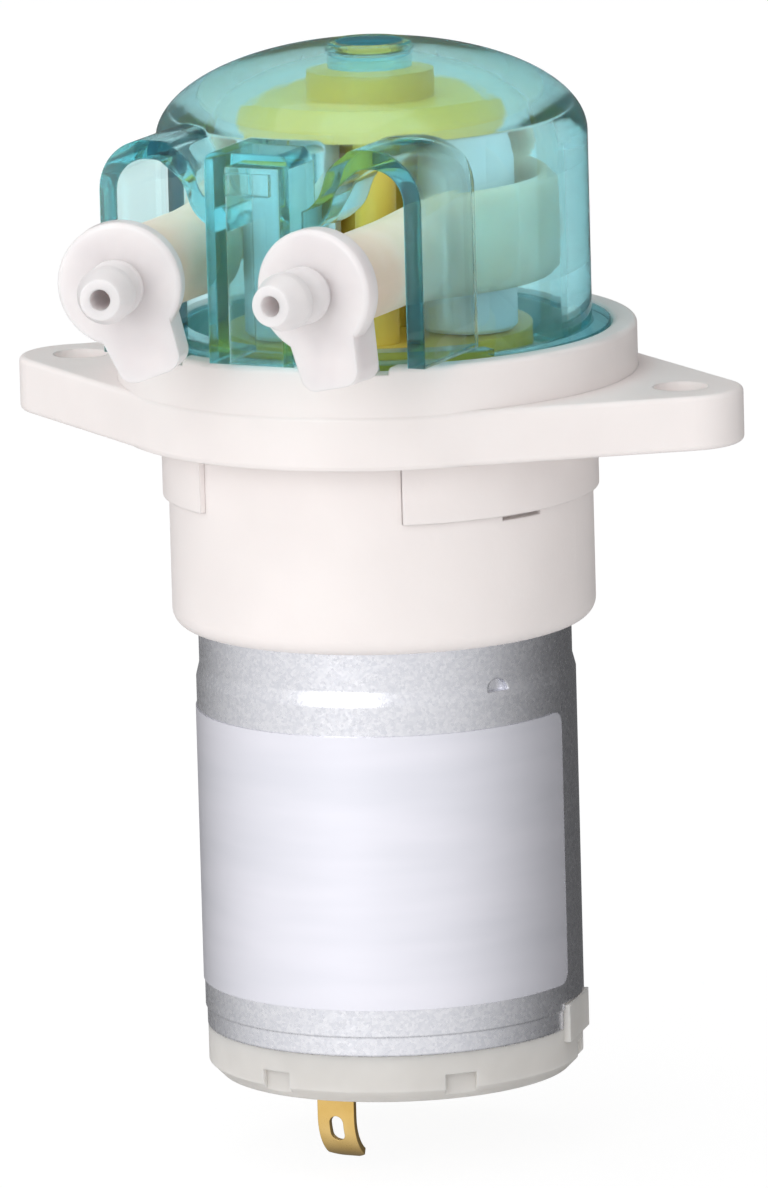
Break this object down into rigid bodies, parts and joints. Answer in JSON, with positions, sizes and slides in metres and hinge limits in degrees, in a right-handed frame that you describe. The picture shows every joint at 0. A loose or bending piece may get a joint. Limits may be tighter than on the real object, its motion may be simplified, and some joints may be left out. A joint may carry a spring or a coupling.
{
  "type": "peristaltic dosing pump",
  "caption": "Peristaltic dosing pump: domed clear head with two barbed hose ports, eared mounting flange, planetary gearbox and DC can motor.",
  "frame": {"origin": "centre of the flange's underside, midway between the two mounting holes", "axes": "+Z out of the domed head along the rotor's axis, -Y out of the hose ports, +X towards the ear on the right as seen from the ports"},
  "size_m": [0.057, 0.0536, 0.0809],
  "materials": {
    "white_nylon": "moulded satin",
    "teal_clear": "clear tinted moulding",
    "natural_clear": "milky natural moulding",
    "cream_tube": "satin",
    "yellow_acetal": "moulded satin",
    "white_acetal": "turned satin",
    "natural_acetal": "moulded satin",
    "zinc_steel": "zinc plated",
    "bright_steel": "ground",
    "sintered_bronze": "sintered",
    "brass": "stamped",
    "copper_wire": "enamelled",
    "ferrite": "pressed",
    "silver_foil": "satin foil",
    "carbon": "pressed"
  },
  "bodies": {
    "pump_frame": {"base_flange": "white_nylon", "gearbox_housing": "white_nylon", "ring_gear": "natural_acetal", "output_bush": "sintered_bronze", "head_cover": "teal_clear", "pump_tube": "cream_tube", "connector_left": "natural_clear", "connector_right": "natural_clear", "motor_can": "zinc_steel", "motor_front_bush": "sintered_bronze", "motor_rear_bush": "sintered_bronze", "motor_screws": "bright_steel", "motor_magnets": "ferrite", "magnet_clips": "bright_steel", "motor_end_cap": "natural_clear", "brush_arms": "brass", "carbon_brushes": "carbon", "terminal_front": "brass", "terminal_rear": "brass", "motor_label": "silver_foil"},
    "armature": {"motor_shaft": "bright_steel", "motor_pinion": "natural_acetal", "armature_core": "bright_steel", "armature_windings": "copper_wire", "commutator": "copper_wire"},
    "first_carrier": {"stage1_carrier": "natural_acetal", "stage1_pins": "bright_steel"},
    "rotor": {"stage2_carrier": "natural_acetal", "stage2_pins": "bright_steel", "output_shaft": "bright_steel", "rotor_bottom_plate": "yellow_acetal", "rotor_top_plate": "yellow_acetal", "roller_pins": "bright_steel"},
    "first_planet_1": {"stage1_planet_1": "natural_acetal"},
    "second_planet_1": {"stage2_planet_1": "natural_acetal"},
    "roller_1": {"roller_1": "white_acetal"},
    "first_planet_2": {"stage1_planet_2": "natural_acetal"},
    "second_planet_2": {"stage2_planet_2": "natural_acetal"},
    "roller_2": {"roller_2": "white_acetal"},
    "first_planet_3": {"stage1_planet_3": "natural_acetal"},
    "second_planet_3": {"stage2_planet_3": "natural_acetal"},
    "roller_3": {"roller_3": "white_acetal"}
  },
  "joints": [
    {"name": "motor_spin", "type": "hinge", "parent": "pump_frame", "child": "armature", "pos_m": [0, 0, -0.026], "axis": [0, 0, 1], "continuous": true},
    {"name": "first_carrier_spin", "type": "hinge", "parent": "pump_frame", "child": "first_carrier", "pos_m": [0, 0, -0.0029], "axis": [0, 0, 1], "continuous": true},
    {"name": "rotor_spin", "type": "hinge", "parent": "pump_frame", "child": "rotor", "pos_m": [0, 0, 0.015], "axis": [0, 0, 1], "continuous": true},
    {"name": "first_planet_1_spin", "type": "hinge", "parent": "first_carrier", "child": "first_planet_1", "pos_m": [0.0075, 0, -0.00555], "axis": [0, 0, 1], "continuous": true},
    {"name": "second_planet_1_spin", "type": "hinge", "parent": "rotor", "child": "second_planet_1", "pos_m": [0.0075, 0, -0.00025], "axis": [0, 0, 1], "continuous": true},
    {"name": "roller_1_spin", "type": "hinge", "parent": "rotor", "child": "roller_1", "pos_m": [0.00718, -0.0005, 0.015], "axis": [0, 0, 1], "continuous": true},
    {"name": "first_planet_2_spin", "type": "hinge", "parent": "first_carrier", "child": "first_planet_2", "pos_m": [-0.00375, 0.0065, -0.00555], "axis": [0, 0, 1], "continuous": true},
    {"name": "second_planet_2_spin", "type": "hinge", "parent": "rotor", "child": "second_planet_2", "pos_m": [-0.00375, 0.0065, -0.00025], "axis": [0, 0, 1], "continuous": true},
    {"name": "roller_2_spin", "type": "hinge", "parent": "rotor", "child": "roller_2", "pos_m": [-0.00316, 0.00647, 0.015], "axis": [0, 0, 1], "continuous": true},
    {"name": "first_planet_3_spin", "type": "hinge", "parent": "first_carrier", "child": "first_planet_3", "pos_m": [-0.00375, -0.0065, -0.00555], "axis": [0, 0, 1], "continuous": true},
    {"name": "second_planet_3_spin", "type": "hinge", "parent": "rotor", "child": "second_planet_3", "pos_m": [-0.00375, -0.0065, -0.00025], "axis": [0, 0, 1], "continuous": true},
    {"name": "roller_3_spin", "type": "hinge", "parent": "rotor", "child": "roller_3", "pos_m": [-0.00403, -0.00597, 0.015], "axis": [0, 0, 1], "continuous": true}
  ],
  "couplings": [
    {"joint": "first_carrier_spin", "follows": "rotor_spin", "ratio": 5},
    {"joint": "motor_spin", "follows": "rotor_spin", "ratio": 25},
    {"joint": "first_planet_1_spin", "follows": "rotor_spin", "ratio": -13.333},
    {"joint": "second_planet_1_spin", "follows": "rotor_spin", "ratio": -2.6667},
    {"joint": "roller_1_spin", "follows": "rotor_spin", "ratio": -2.8947},
    {"joint": "first_planet_2_spin", "follows": "rotor_spin", "ratio": -13.333},
    {"joint": "second_planet_2_spin", "follows": "rotor_spin", "ratio": -2.6667},
    {"joint": "roller_2_spin", "follows": "rotor_spin", "ratio": -2.8947},
    {"joint": "first_planet_3_spin", "follows": "rotor_spin", "ratio": -13.333},
    {"joint": "second_planet_3_spin", "follows": "rotor_spin", "ratio": -2.6667},
    {"joint": "roller_3_spin", "follows": "rotor_spin", "ratio": -2.8947}
  ]
}
